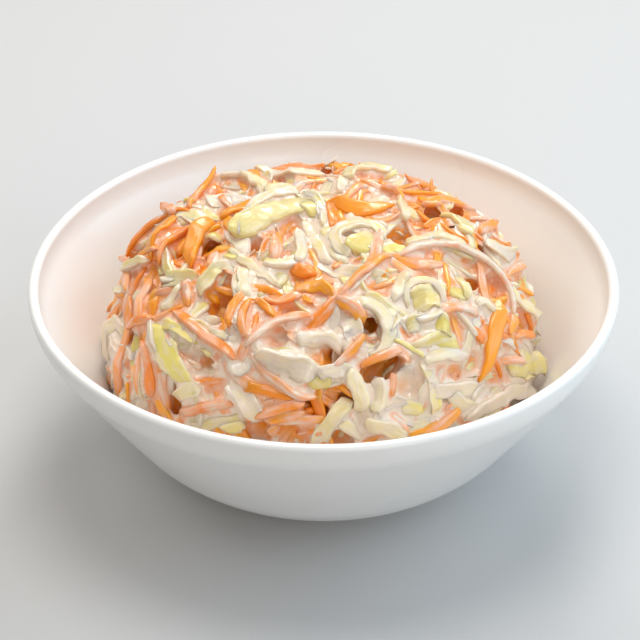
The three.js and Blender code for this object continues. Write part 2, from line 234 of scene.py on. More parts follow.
# A lift so low that only what lies beneath decides.
NO_LIFT = -9.0

# Where the dressing lies thick (above 0) or thin (below 0): turn, rise, reach in
# millimetres, amount.
WET_SPOTS = [
    (-26, 36, 9, 1.0), (-11, 45, 9, 1.0), (35, 44, 8, 0.3), (26, 34, 8, 0.9), (-54, 31, 6, 0.8),
    (-34, 61, 6, 0.5), (-80, 15, 8, 0.8), (101, 39, 8, 0.7), (-154, 59, 10, 0.6), (176, 71, 10, 0.6),
    (-1, 63, 6, 0.6), (-5, 37, 7, 0.6), (9, 43, 7, 0.6), (-45, 20, 10, 0.5), (60, 30, 9, 0.4),
    (-88, 60, 14, -1.0), (-83, 50, 10, -0.8), (104, 81, 10, -0.8), (56, 36, 5, -0.9), (-9, 66, 5, -0.9),
    (-39, 53, 6, -0.9), (-64, 52, 7, -0.5), (-129, 51, 10, -0.8), (26, 21, 7, -0.7), (-11, 26, 6, -0.6),
]

# Deep hollows between the shreds: turn, rise, reach, depth.
HOLLOWS = [
    (-33, 44, 2.4, 6), (-22, 39, 1.6, 4), (-17, 35, 1.6, 5), (-3, 34, 2.4, 6), (7, 33, 2.4, 6),
    (34, 29, 2.2, 5), (13, 53, 1.5, 5), (4, 45, 2.2, 5), (20, 46, 1.8, 5), (14, 40, 1.8, 5),
    (-22, 56, 2.2, 5), (-38, 57, 2.2, 5), (-71, 11, 2.6, 5), (-60, 16, 2.4, 5), (-58, 71, 1.8, 4),
    (63, 49, 2.4, 5), (-73, 61, 2.6, 5), (-69, 46, 2.2, 4), (0, 30, 2.0, 4),
]

# ---- the bowl's outline ------------------------------------------------------------------


def arc(centre, radius, start, end, steps):
    """Points of an arc between two directions of travel: 0 is outward, 90 degrees is up."""
    turn = np.linspace(start, end, steps + 1)
    return np.stack([centre[0] + radius * np.sin(turn), centre[1] - radius * np.cos(turn)], 1)


def bowl_arcs():
    """The lip's and belly's centres and the belly radius that meets the wall smoothly."""
    lip = np.array([RIM_RADIUS - LIP_ARC, BOWL_HEIGHT - WALL / 2])
    across, up = arc(lip, LIP_ARC, WALL_SLOPE, WALL_SLOPE, 1)[0] - (FOOT_RADIUS, FOOT_HEIGHT)
    sin, cos = np.sin(WALL_SLOPE), np.cos(WALL_SLOPE)
    sin_start, cos_start = np.sin(BELLY_START), np.cos(BELLY_START)
    radius = (across * sin - up * cos) / ((sin - sin_start) * sin - (cos_start - cos) * cos)
    belly = np.array([FOOT_RADIUS - radius * sin_start, FOOT_HEIGHT + radius * cos_start])
    return lip, belly, radius


LIP, BELLY, BELLY_RADIUS = bowl_arcs()


def inner_wall(inset, steps):
    """The bowl's inside from the edge of its flat floor to the rim, moved in by inset."""
    belly = arc(BELLY, BELLY_RADIUS - WALL - inset, 0, WALL_SLOPE, steps)
    lip = arc(LIP, LIP_ARC - WALL - inset, WALL_SLOPE, np.pi / 2, steps // 2)
    return np.vstack([belly, lip])


INNER_LINE = inner_wall(0, 40)


def wall_radius(height):
    return np.interp(height, INNER_LINE[:, 1], INNER_LINE[:, 0], right=1e3)


# ---- the heap's skin ------------------------------------------------------------------------


def outness(points):
    """How far out points lie: 1 on the skin, less inside the heap."""
    local = points - HEAP_CENTRE
    across = np.hypot(local[..., 0], local[..., 1]) / HEAP_RADIUS
    up = np.abs(local[..., 2]) / HEAP_RISE
    return (across**SQUARENESS + up**SQUARENESS) ** (1 / SQUARENESS)


def onto_skin(points):
    return HEAP_CENTRE + (points - HEAP_CENTRE) / outness(points)[..., None]


def unit(vectors):
    return vectors / (np.linalg.norm(vectors, axis=-1, keepdims=True) + 1e-12)


def skin_out(points):
    """The direction straight out of the skin."""
    local = points - HEAP_CENTRE
    across = np.hypot(local[..., 0], local[..., 1]) + 1e-9
    level = (across / HEAP_RADIUS) ** (SQUARENESS - 1) / HEAP_RADIUS / across
    up = np.sign(local[..., 2]) * (np.abs(local[..., 2]) / HEAP_RISE) ** (SQUARENESS - 1) / HEAP_RISE
    return unit(np.stack([local[..., 0] * level, local[..., 1] * level, up], -1))


def skin_point(turn, rise):
    level = HEAP_RADIUS * np.cos(rise)
    away = np.stack([level * np.sin(turn), -level * np.cos(turn), HEAP_RISE * np.sin(rise)], -1)
    return onto_skin(away + HEAP_CENTRE)


# Large odd numbers that scatter the corners of the noise's lattice.
HASH_X = 73856093
HASH_Y = 19349663
HASH_Z = 83492791
HASH_SEED = 2654435761
HASH_MIX = 1274126177


def lattice_noise(points, size, seed):
    """Smooth noise from -1 to 1 with lumps about size across."""
    place = points / size + 100.0
    low = np.floor(place).astype(np.int64)
    share = place - low
    share = share * share * (3 - 2 * share)
    total = np.zeros(points.shape[:-1])
    for corner in range(8):
        step = np.array([corner & 1, corner >> 1 & 1, corner >> 2 & 1])
        cell = low + step
        mixed = cell[..., 0] * HASH_X ^ cell[..., 1] * HASH_Y ^ cell[..., 2] * HASH_Z ^ seed * HASH_SEED
        mixed = (mixed ^ (mixed >> 13)) * HASH_MIX
        value = ((mixed ^ (mixed >> 16)) & 0xFFFF) / 0x7FFF - 1.0
        total += value * np.prod(np.where(step, share, 1 - share), axis=-1)
    return total


# ---- the pile -------------------------------------------------------------------------------


def spot_sum(points, spots):
    """The sum of soft round spots on the skin."""
    total = np.zeros(points.shape[:-1])
    for turn, rise, reach, amount in spots:
        middle = skin_point(np.radians(turn), np.radians(rise))
        total += amount * np.exp(-((points - middle) ** 2).sum(axis=-1) / reach**2)
    return total


WET_PATCHES = 0.65


def wetness(points):
    """How thick the dressing lies: above 0 it pools, below 0 the shreds are bare."""
    low = 0.35 - 0.8 * (points[..., 2] - HEAP_SHOULDER) / HEAP_RISE
    return spot_sum(points, WET_SPOTS) + low + WET_PATCHES * lattice_noise(points, 11.0, 31)


LUMP_HEIGHT = 1.7
BUMP_HEIGHT = 0.8


def lump(points):
    """The heap's own unevenness under the shreds that lead."""
    skin = onto_skin(points)
    return LUMP_HEIGHT * lattice_noise(skin, 13.0, 41) + BUMP_HEIGHT * lattice_noise(skin, 6.0, 42)


class Pile:
    """How high the shreds reach so far, kept on a flat map of the skin round its top."""

    CELL = 0.7
    REACH = 130.0

    def __init__(self, depth):
        rises = np.radians(np.linspace(90, -35, 400))
        line = skin_point(np.zeros_like(rises), rises)
        steps = np.linalg.norm(np.diff(line, axis=0), axis=1)
        self.drop = -rises
        self.distance = np.concatenate([[0.0], np.cumsum(steps)])
        steps = np.arange(int(2 * self.REACH / self.CELL)) * self.CELL - self.REACH
        across, away = np.meshgrid(steps, steps, indexing="ij")
        rise = -np.interp(np.hypot(across, away), self.distance, self.drop)
        self.top = lump(skin_point(np.arctan2(across, -away), rise)) - depth

    def cells(self, points):
        local = points - HEAP_CENTRE
        level = np.hypot(local[..., 0], local[..., 1])
        rise = np.arctan2(local[..., 2] / HEAP_RISE, level / HEAP_RADIUS)
        distance = np.interp(-rise, self.drop, self.distance)
        flat = local[..., :2] / (level[..., None] + 1e-9) * distance[..., None]
        cell = ((flat + self.REACH) / self.CELL).astype(int)
        return np.clip(cell, 0, self.top.shape[0] - 1)

    def under(self, points):
        cell = self.cells(points)
        return self.top[cell[..., 0], cell[..., 1]]

    def cover(self, points, tops):
        cell = self.cells(points).reshape(-1, 2)
        np.maximum.at(self.top, (cell[:, 0], cell[:, 1]), tops.reshape(-1))


def drape(bed, rounds):
    """A stiff strip's underside over a bed: it bridges dips and rests on bumps."""
    lying = bed.copy()
    for _ in range(rounds):
        spread = np.convolve(np.pad(lying, 1, mode="edge"), (0.25, 0.5, 0.25), mode="valid")
        lying = np.maximum(bed, spread)
    return lying


# ---- one shred ------------------------------------------------------------------------------

SECTION_SIDES = 10
SHRED_VALUES = ("film", "tone", "rim", "along", "across", "lead")
ROW_STEP = 1.5
LEAST_ROWS = 9
# A wider shred than this is a planed piece: thinner, and dented deeper.
BROAD = 6.5
# Wider shreds than this have sides no more uneven than one of this width.
EVEN_WIDTH = 4.5
# A shred shorter than this many widths has its ends cut less slanting.
SLANT_ASPECT = 3.0
# A strip sinks this far into what it lies on, and its ends droop this much further.
SETTLED = 0.35
END_DROOP = 1.3
# A strip's top lies at most this far under its lift, before the strip settles.
LIFT_SLACK = 1.2
# Rounds of draping for each millimetre of thickness: a thicker strip is stiffer.
STIFFNESS = 14


def bowed(share, length, bow):
    """A circle's arc over a straight length: how far along it and how far aside."""
    half = length / 2
    if abs(bow) < 0.05:
        return share * half, np.zeros_like(share)
    sag = abs(bow)
    radius = (half * half + sag * sag) / (2 * sag)
    reach = 2 * np.arctan2(sag, half)
    along = radius * np.sin(share * reach)
    aside = radius * (np.cos(share * reach) - np.cos(reach))
    return along, np.sign(bow) * aside


def lay_shred(
    pile, rng, kind, film, turn, rise, heading, length, bow, width, lift, tip=None,
    ceiling=HIGHEST_BED,
):
    """Lays one shred on the pile. Returns its rings of points and what its material reads."""
    look = KINDS[kind]
    broad = width > BROAD
    thick = rng.uniform(*look["thick"]) * (0.8 if broad else 1.0)
    middle = skin_point(np.radians(turn), np.radians(rise))
    out = skin_out(middle)
    right = unit(np.cross([0.0, 0.0, 1.0], out))
    along = right * np.cos(np.radians(heading)) + np.cross(out, right) * np.sin(np.radians(heading))
    side = np.cross(out, along)

    span = length + 1.6 * abs(bow)
    rows = max(LEAST_ROWS, int(span / ROW_STEP))
    share = np.linspace(-1, 1, rows)
    path = np.stack([share * span / 2, 0 * share, 0 * share], 1) + rng.uniform(0, 90, 3)
    ahead, aside = bowed(share, length, bow)
    aside = aside + (0.3 + length * 0.018) * lattice_noise(path, 7.0, 5)
    skin = onto_skin(middle + along * ahead[:, None] + side * aside[:, None])
    local = skin_out(skin)
    tangent = unit(np.gradient(skin, axis=0))
    across = unit(np.cross(local, tangent))

    taps = skin[:, None] + across[:, None] * width * np.array([-0.4, 0.0, 0.4])[None, :, None]
    ground = lump(skin)
    bed = np.minimum(pile.under(taps).max(axis=1), ground + ceiling)
    lying = drape(bed, int(STIFFNESS * thick))
    lying = np.maximum(lying, lift - thick - LIFT_SLACK) - SETTLED - END_DROOP * np.abs(share) ** 5
    if tip is not None:
        reach = np.clip(share, 0, 1) ** 2
        lying = lying * (1 - reach) + (tip - thick) * reach
    if kind != "carrot":
        lying = lying + 0.3 * lattice_noise(skin, 4.0, 9)

    ends = rng.uniform(*look["ends"], 2)
    taper = (1 - np.abs(share) ** np.where(share < 0, ends[0], ends[1])) ** 0.6
    sides = np.stack([lattice_noise(path, look["grain"], seed) for seed in (3, 7)])
    uneven = 1 + look["ragged"] * min(1.0, EVEN_WIDTH / width) * sides
    roll = (rng.uniform(-0.6, 0.6) + rng.uniform(-0.9, 0.9) * share) * look["twist"]
    roll = (roll + 0.25 * lattice_noise(path, 6.0, 4))[:, None]
    flat_way = across * np.cos(roll) + local * np.sin(roll)
    thick_way = local * np.cos(roll) - across * np.sin(roll)

    angle = np.linspace(0, 2 * np.pi, SECTION_SIDES, endpoint=False)
    wide = np.sign(np.cos(angle)) * np.abs(np.cos(angle)) ** (2 / look["square"])
    deep = np.sign(np.sin(angle)) * np.abs(np.sin(angle)) ** (2 / look["square"])
    cup = look["cup"] * rng.uniform(-0.8, 1.6) * width
    slant = look["slant"] * min(1.0, length / (SLANT_ASPECT * width)) * share**2
    slant = slant * rng.uniform(-1, 1, 2)[(share > 0).astype(int)]
    centre = skin + local * (lying + thick / 2)[:, None]
    ragged = np.where(wide[None] > 0, uneven[0][:, None], uneven[1][:, None])
    half = width / 2 * taper[:, None] * wide[None] * ragged
    high = deep[None] * (thick / 2 * taper**0.7)[:, None] + cup * (wide**2 - 0.4)[None] * taper[:, None]
    rings = (
        centre[:, None]
        + flat_way[:, None] * half[..., None]
        + thick_way[:, None] * high[..., None]
        + tangent[:, None] * (half * slant[:, None])[..., None]
    )
    dents = np.stack([lattice_noise(rings, 1.9, seed) for seed in (51, 52, 53)], -1)
    rings = keep_off_wall(rings + look["dent"] * (2.0 if broad else 1.0) * dents)
    pile.cover(taps, np.repeat((lying + thick)[:, None], 3, axis=1))
    return {
        "rings": rings, "film": film, "tone": rng.uniform(), "rim": np.abs(wide)[None] ** 3,
        "along": (share * span / 2)[:, None], "across": half, "lead": float(ceiling > HIGHEST_UNDER),
    }


def keep_off_wall(rings):
    """Moves each ring in toward the axis until it clears the bowl's wall."""
    radius = np.hypot(rings[..., 0], rings[..., 1])
    over = (radius - wall_radius(rings[..., 2]) + WALL_GAP).max(axis=1, keepdims=True)
    pull = 1 - np.maximum(over, 0) / radius
    moved = rings.copy()
    moved[..., 0] *= pull
    moved[..., 1] *= pull
    return moved


def shred_mesh(shreds):
    """Joins shreds into one set of points and faces, with each of SHRED_VALUES at every point."""
    points, faces = [], []
    values = {name: [] for name in SHRED_VALUES}
    start = 0
    for shred in shreds:
        rings = shred["rings"]
        rows, sides = rings.shape[:2]
        inner = rows - 2
        points += [rings[:1].mean(axis=1), rings[1:-1].reshape(-1, 3), rings[-1:].mean(axis=1)]
        for name in SHRED_VALUES:
            full = np.broadcast_to(shred[name], (rows, sides))
            values[name] += [full[:1].mean(axis=1), full[1:-1].reshape(-1), full[-1:].mean(axis=1)]
        grid = start + 1 + np.arange(inner * sides).reshape(inner, sides)
        after = np.roll(grid, -1, axis=1)
        quads = np.stack([grid[:-1], after[:-1], after[1:], grid[1:]], -1).reshape(-1, 4)
        last = start + inner * sides + 1
        faces += quads.tolist()
        faces += [(start, b, a) for a, b in zip(grid[0], after[0])]
        faces += [(last, a, b) for a, b in zip(grid[-1], after[-1])]
        start = last + 1
    joined = {name: np.concatenate(parts) for name, parts in values.items()}
    return np.vstack(points), faces, joined


# ---- making objects ---------------------------------------------------------------------------


def add_object(name, mesh, material):
    piece = bpy.data.objects.new(name, mesh)
    bpy.context.scene.collection.objects.link(piece)
    if material:
        mesh.materials.append(material)
    return piece


def mesh_from(name, points, faces):
    mesh = bpy.data.meshes.new(name)
    mesh.from_pydata((points * MM).tolist(), [], faces)
    mesh.polygons.foreach_set("use_smooth", [True] * len(mesh.polygons))
    return mesh


def add_value(mesh, name, values):
    layer = mesh.attributes.new(name, "FLOAT", "POINT")
    layer.data.foreach_set("value", values.astype(np.float32))


def mesh_points(mesh):
    flat = np.empty(len(mesh.vertices) * 3)
    mesh.vertices.foreach_get("co", flat)
    return flat.reshape(-1, 3) / MM


def set_points(mesh, points):
    mesh.vertices.foreach_set("co", (points * MM).reshape(-1))
    mesh.update()


def mesh_values(mesh, name):
    values = np.empty(len(mesh.vertices))
    mesh.attributes[name].data.foreach_get("value", values)
    return values


def mesh_normals(mesh):
    flat = np.empty(len(mesh.vertices) * 3)
    mesh.vertices.foreach_get("normal", flat)
    return flat.reshape(-1, 3)


def spun_mesh(name, outline, steps):
    """A closed shape spun from an outline that starts and ends on the axis."""
    work = bmesh.new()
    verts = [work.verts.new(Vector((x, 0, z)) * MM) for x, z in outline]
    edges = [work.edges.new(pair) for pair in zip(verts, verts[1:])]
    bmesh.ops.spin(
        work, geom=verts + edges, cent=(0, 0, 0), axis=(0, 0, 1), dvec=(0, 0, 0),
        angle=2 * np.pi, steps=steps, use_merge=True,
    )
    bmesh.ops.remove_doubles(work, verts=work.verts, dist=1e-6)
    bmesh.ops.recalc_face_normals(work, faces=work.faces)
    for face in work.faces:
        face.smooth = True
    mesh = bpy.data.meshes.new(name)
    work.to_mesh(mesh)
    work.free()
    return mesh


# ---- materials ----------------------------------------------------------------------------------


class Socket:
    """A value in a material. Sums and products of it add Math nodes."""

    def __init__(self, material, socket):
        self.material = material
        self.socket = socket

    def math(self, operation, first, second):
        return self.material.node("ShaderNodeMath", {"operation": operation}, {0: first, 1: second})

    def __add__(self, other):
        return self.math("ADD", self, other)

    def __radd__(self, other):
        return self.math("ADD", other, self)

    def __sub__(self, other):
        return self.math("SUBTRACT", self, other)

    def __rsub__(self, other):
        return self.math("SUBTRACT", other, self)

    def __mul__(self, other):
        return self.math("MULTIPLY", self, other)

    def __rmul__(self, other):
        return self.math("MULTIPLY", other, self)


class Material:
    """A Principled material built from expressions."""

    def __init__(self, name):
        self.data = bpy.data.materials.new(name)
        self.data.use_nodes = True
        self.tree = self.data.node_tree
        self.surface = self.tree.nodes["Principled BSDF"]

    def node(self, kind, settings=None, inputs=None, output=0):
        node = self.tree.nodes.new(kind)
        for key, value in (settings or {}).items():
            setattr(node, key, value)
        for key, value in (inputs or {}).items():
            self.set(node.inputs[key], value)
        return Socket(self, node.outputs[output])

    def set(self, target, value):
        if isinstance(value, Socket):
            self.tree.links.new(value.socket, target)
        else:
            target.default_value = value

    def surface_set(self, **values):
        for key, value in values.items():
            self.set(self.surface.inputs[key.replace("_", " ")], value)

    def place(self):
        return self.node("ShaderNodeTexCoord", output="Object")

    def noise(self, scale, detail=2.0, place=None):
        """Noise from 0 to 1, its lumps about 1 / scale of a metre across."""
        inputs = {"Vector": place or self.place(), "Scale": scale, "Detail": detail}
        return self.node("ShaderNodeTexNoise", {}, inputs)

    def attribute(self, name):
        return self.node("ShaderNodeAttribute", {"attribute_name": name}, output="Fac")

    def streaks(self, along, across):
        """Noise drawn out along each shred, its streaks about along by across millimetres."""
        inputs = {
            0: self.attribute("along") * (1 / along),
            1: self.attribute("across") * (1 / across),
            2: self.attribute("tone") * 60.0,
        }
        return self.noise(1.0, 2.0, place=self.node("ShaderNodeCombineXYZ", {}, inputs))

    def ramp(self, value, low, high):
        """0 below low, 1 above high, smooth between."""
        settings = {"interpolation_type": "SMOOTHSTEP"}
        inputs = {"Value": value, "From Min": low, "From Max": high}
        return self.node("ShaderNodeMapRange", settings, inputs)

    def mix(self, share, first, second):
        inputs = {0: share, 6: first, 7: second}
        return self.node("ShaderNodeMix", {"data_type": "RGBA"}, inputs, output=2)

    def bump(self, height, distance, strength=1.0):
        inputs = {"Strength": strength, "Distance": distance, "Height": height}
        return self.node("ShaderNodeBump", {}, inputs)


CREAM = (0.82, 0.67, 0.54, 1)
PEACH = (0.87, 0.42, 0.25, 1)
ORANGE = (0.95, 0.36, 0.006, 1)
DEEP_ORANGE = (0.90, 0.23, 0.004, 1)
PALE_FLESH = (0.80, 0.65, 0.31, 1)
YELLOW_FLESH = (0.78, 0.61, 0.15, 1)
LEAF_YELLOW = (0.93, 0.75, 0.25, 1)
LEAF_GREEN = (0.88, 0.73, 0.19, 1)


def coated(made, flesh, thin, reach, edge):
    """Flesh under a film of dressing in patches and streaks: its colour, film and relief."""
    patches = made.noise(150.0, 2.0)
    streaks = made.streaks(9.0, 1.3)
    edges = made.attribute("rim") * ((made.attribute("tone") - 0.35) * 0.45 + edge)
    film = made.attribute("film") + edges + (patches - 0.5) * reach + (streaks - 0.5) * 1.2
    over = made.mix(made.ramp(film, 0.13, 0.65), flesh, thin)
    return made.mix(made.ramp(film, 0.52, 1.05), over, CREAM), film, patches + streaks


def carrot_material():
    made = Material("carrot")
    fibres = made.streaks(12.0, 0.7)
    shade = made.ramp(fibres * 0.6 + made.attribute("tone"), 0.2, 1.2)
    flesh = made.mix(shade, DEEP_ORANGE, ORANGE)
    colour, film, relief = coated(made, flesh, PEACH, 1.6, 0.0)
    made.surface_set(
        Base_Color=colour,
        Roughness=0.36 - made.ramp(film, 0.3, 0.9) * 0.10,
        Subsurface_Weight=0.30,
        Subsurface_Radius=(2.6, 1.3, 0.5),
        Subsurface_Scale=0.0012,
        Coat_Weight=0.5,
        Coat_Roughness=0.14,
        Normal=made.bump(fibres * 0.5 + relief, 0.0004, 0.6),
    )
    return made.data


def cabbage_material():
    made = Material("cabbage")
    shade = made.ramp(made.attribute("tone") + made.noise(60.0) - 0.5, 0.1, 0.9)
    flesh = made.mix(shade, PALE_FLESH, YELLOW_FLESH)
    colour, _, relief = coated(made, flesh, (0.84, 0.69, 0.45, 1), 1.3, 0.2)
    made.surface_set(
        Base_Color=colour,
        Roughness=0.32,
        Subsurface_Weight=0.40,
        Subsurface_Radius=(2.4, 1.9, 1.1),
        Subsurface_Scale=0.0016,
        Coat_Weight=0.5,
        Coat_Roughness=0.13,
        Normal=made.bump(made.noise(420.0, 3.0) * 0.5 + relief, 0.0005, 0.6),
    )
    return made.data


def leaf_material():
    made = Material("cabbage_leaf")
    shade = made.ramp(made.attribute("tone") + made.noise(110.0) - 0.5, 0.1, 0.9)
    flesh = made.mix(shade, LEAF_YELLOW, LEAF_GREEN)
    colour, _, relief = coated(made, flesh, (0.87, 0.72, 0.40, 1), 1.2, 0.45)
    made.surface_set(
        Base_Color=colour,
        Roughness=0.32,
        Subsurface_Weight=0.40,
        Subsurface_Radius=(2.0, 1.9, 0.6),
        Subsurface_Scale=0.0012,
        Coat_Weight=0.5,
        Coat_Roughness=0.13,
        Normal=made.bump(made.noise(500.0, 3.0) * 0.5 + relief, 0.0004, 0.6),
    )
    return made.data


def dressing_material():
    made = Material("dressing")
    patches = made.noise(110.0, 3.0)
    near = made.attribute("near_carrot") + (patches - 0.5) * 0.6 - made.attribute("wet") * 0.30
    white = made.mix(made.noise(60.0), (0.84, 0.67, 0.53, 1), (0.85, 0.71, 0.55, 1))
    peach = made.mix(made.ramp(near, 0.0, 0.75), white, (0.87, 0.41, 0.23, 1))
    tinted = made.mix(made.ramp(near, 0.70, 1.15), peach, (0.92, 0.34, 0.06, 1))
    # Painted shade: the further the dressing lies below the heap's skin, the more its colour turns to a
    # warm orange and then to a dark brown-orange, standing in for the shade in the hollows between the
    # shreds. deep is how far into that painted shade a point lies, and the coat thins there too.
    depth = made.attribute("depth") + (patches - 0.5) * 1.5
    deep = made.ramp(depth, 1.4, 4.4)
    shaded_in_hollows = made.mix(deep, tinted, (0.86, 0.31, 0.035, 1))
    made.surface_set(
        Base_Color=made.mix(made.ramp(depth, 4.6, 7.4), shaded_in_hollows, (0.46, 0.14, 0.006, 1)),
        Roughness=0.30,
        Subsurface_Weight=0.35,
        Subsurface_Radius=(2.4, 1.6, 1.0),
        Subsurface_Scale=0.0015,
        Coat_Weight=0.55 - deep * 0.5,
        Coat_Roughness=0.12,
        Normal=made.bump(made.noise(350.0, 3.0), 0.0005, 0.5),
    )
    return made.data


def core_material():
    made = Material("heap_inside_in_painted_shade")
    # Painted shade: the heap's inside is coloured in darkened carrot oranges, standing in for the shade
    # seen through the gaps between the shreds.
    patches = made.noise(160.0, 3.0)
    made.surface_set(
        Base_Color=made.mix(made.ramp(patches, 0.35, 0.65), (0.62, 0.17, 0.006, 1), (0.75, 0.33, 0.05, 1)),
        Roughness=0.45,
        Normal=made.bump(patches, 0.002, 0.8),
    )
    return made.data


def glaze_material():
    made = Material("white_glaze")
    clouds = made.noise(9.0, 0.0)
    made.surface_set(
        Base_Color=made.mix(clouds, (0.868, 0.868, 0.856, 1), (0.877, 0.878, 0.868, 1)),
        Roughness=0.26 + clouds * 0.02,
        Coat_Weight=0.2,
        Coat_Roughness=0.12,
    )
    return made.data


# ---- bowl ---------------------------------------------------------------------------------------


def make_bowl():
    rim = (RIM_RADIUS - WALL / 2, LIP[1])
    foot_inside = FOOT_RADIUS - FOOT_WIDTH
    foot = [
        (0.0, FOOT_RECESS), (foot_inside - 1.0, FOOT_RECESS), (foot_inside + 0.1, 0.5),
        (foot_inside + 0.6, 0.0), (FOOT_RADIUS - 0.8, 0.0), (FOOT_RADIUS - 0.2, 0.3), (FOOT_RADIUS, 0.8),
    ]
    outline = [
        *foot,
        *arc(BELLY, BELLY_RADIUS, BELLY_START, WALL_SLOPE, 20),
        *arc(LIP, LIP_ARC, WALL_SLOPE, np.pi / 2, 12),
        *arc(rim, WALL / 2, np.pi / 2, 1.5 * np.pi, 12)[1:-1],
        *inner_wall(0, 20)[::-1],
        (0.0, BELLY[1] - BELLY_RADIUS + WALL),
    ]
    mesh = spun_mesh("white_bowl", outline, BOWL_STEPS)
    bowl = add_object("white_bowl", mesh, glaze_material())
    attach(bowl, "root")
    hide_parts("bowl")


# ---- heap ---------------------------------------------------------------------------------------

CORE_STEPS = 150
CORE_ROWS = 70


def make_core():
    """The heap's inside: it fills the bowl's belly and lies deep under the shreds."""
    below = inner_wall(WALL_GAP, 16)
    below = below[below[:, 1] < HEAP_SHOULDER - 2]
    rises = np.linspace(0.02, np.pi / 2 - 0.01, CORE_ROWS)
    line = skin_point(np.zeros_like(rises), rises)
    line = line - skin_out(line) * CORE_DEPTH
    outline = [(0.0, below[0][1]), *below, *zip(-line[:, 1], line[:, 2]), (0.0, line[-1][2])]
    mesh = spun_mesh("heap_core", outline, CORE_STEPS)
    points = mesh_points(mesh)
    above = points[:, 2] > HEAP_SHOULDER
    points[:, 0] += HEAP_SHIFT * above
    rough = lump(points) + 0.6 * lattice_noise(points, 3.0, 21) - 0.6
    points += skin_out(points) * (rough * above)[:, None]
    set_points(mesh, points)
    return add_object("heap_core", mesh, core_material())


def lowest_spot(pile, keep_hollow, tries=5):
    """Of a few random spots on the heap, the one where the pile is lowest."""
    turns = draw.uniform(-180, 180, tries)
    rises = np.degrees(np.arcsin(draw.uniform(0.02, 1.0, tries)))
    spots = skin_point(np.radians(turns), np.radians(rises))
    ring = np.array([[3, 0, 0], [-3, 0, 0], [0, 3, 0], [0, -3, 0], [0, 0, 0]], float)
    levels = pile.under(onto_skin(spots[:, None] + ring[None])).mean(axis=1) - lump(spots)
    best = int(np.argmin(levels + keep_hollow * spot_sum(spots, HOLLOWS)))
    return turns[best], rises[best]


def random_shred(pile, keep_hollow):
    kind = str(draw.choice(["carrot", "cabbage", "leaf"], p=KIND_SHARES))
    look = KINDS[kind]
    turn, rise = lowest_spot(pile, keep_hollow)
    low, high = look["length"]
    length = low + (high - low) * draw.beta(1.2, 2.2)
    width = draw.uniform(*look["width"])
    bow = length * draw.normal(0, BOW_SPREAD)
    heading = draw.uniform(0, 360)
    film = np.clip(draw.normal(look["film"], FILM_SPREAD), -0.1, 1)
    tip = draw.uniform(*TIP_RANGE) if draw.uniform() < TIP_SHARE else None
    row = (kind, film, turn, rise, heading, length, bow, width, NO_LIFT, tip, HIGHEST_UNDER)
    return kind, lay_shred(pile, draw, *row)


def lay_heap():
    """Lays every shred, from the core out. Returns the shreds by kind."""
    pile = Pile(CORE_DEPTH)
    laid = {"carrot": [], "cabbage": [], "leaf": []}
    for keep_hollow in [0.0] * DEEP_COUNT + [HOLLOWS_KEPT] * UNDER_COUNT:
        kind, shred = random_shred(pile, keep_hollow)
        laid[kind].append(shred)
    for row in LARGEST:
        own_draw = np.random.default_rng((SEED, row[2] % 360, row[3], row[5]))
        laid[row[0]].append(lay_shred(pile, own_draw, *row))
    return laid


def make_shreds(laid):
    names = {"carrot": "carrot_shreds", "cabbage": "cabbage_shreds", "leaf": "cabbage_leaves"}
    materials = {"carrot": carrot_material, "cabbage": cabbage_material, "leaf": leaf_material}
    made = []
    for kind, name in names.items():
        points, faces, values = shred_mesh(laid[kind])
        values["film"] = values["film"] + WET_SHREDS * np.clip(wetness(points), -1, 1)
        mesh = mesh_from(name, points, faces)
        for value in SHRED_VALUES:
            add_value(mesh, value, values[value])
        made.append(add_object(name, mesh, materials[kind]()))
    return made


# The skin of dressing: its grain, how far it first stands off the shreds, its rounds of
# softening, the share of its faces that is kept, and the size of a scrap that is dropped.
VOXEL = 0.85
SWELL = 1.3
SOFTENING = 4
THINNED = 0.66
SPECK_POINTS = 60
# How thick it lies: on a bare leading shred, more where it is wet, and more on those beneath.
BARE_FILM = -0.52
WET_FILM = 0.42
UNDER_FILM = 0.14
# How far a hollow of depth 1 is sunk, and how far a carrot's colour reaches into the dressing.
SINK = 1.9
TINT_REACH = 1.3
# How much further the film goes over the shreds where it is wet.
WET_SHREDS = 0.22


def surface_tree(pieces):
    """One search tree over several meshes, with each face's mesh, lead and film."""
    points, faces, owners, leads, films = [], [], [], [], []
    start = 0
    for owner, piece in enumerate(pieces):
        own = mesh_points(piece.data)
        for face in piece.data.polygons:
            faces.append([start + corner for corner in face.vertices])
        owners += [owner] * len(piece.data.polygons)
        firsts = [face.vertices[0] for face in piece.data.polygons]
        leads.append(mesh_values(piece.data, "lead")[firsts])
        films.append(mesh_values(piece.data, "film")[firsts])
        points.append(own)
        start += len(own)
    tree = BVHTree.FromPolygons(np.vstack(points).tolist(), faces)
    return tree, np.array(owners), np.concatenate(leads), np.concatenate(films)


def drop_specks(mesh):
    """Deletes the loose scraps of fewer than SPECK_POINTS points that thinning leaves."""
    work = bmesh.new()
    work.from_mesh(mesh)
    left = set(work.verts)
    specks = []
    while left:
        island = [left.pop()]
        for vert in island:
            for edge in vert.link_edges:
                other = edge.other_vert(vert)
                if other in left:
                    left.remove(other)
                    island.append(other)
        if len(island) < SPECK_POINTS:
            specks += island
    bmesh.ops.delete(work, geom=specks, context="VERTS")
    work.to_mesh(mesh)
    work.free()
    mesh.update()


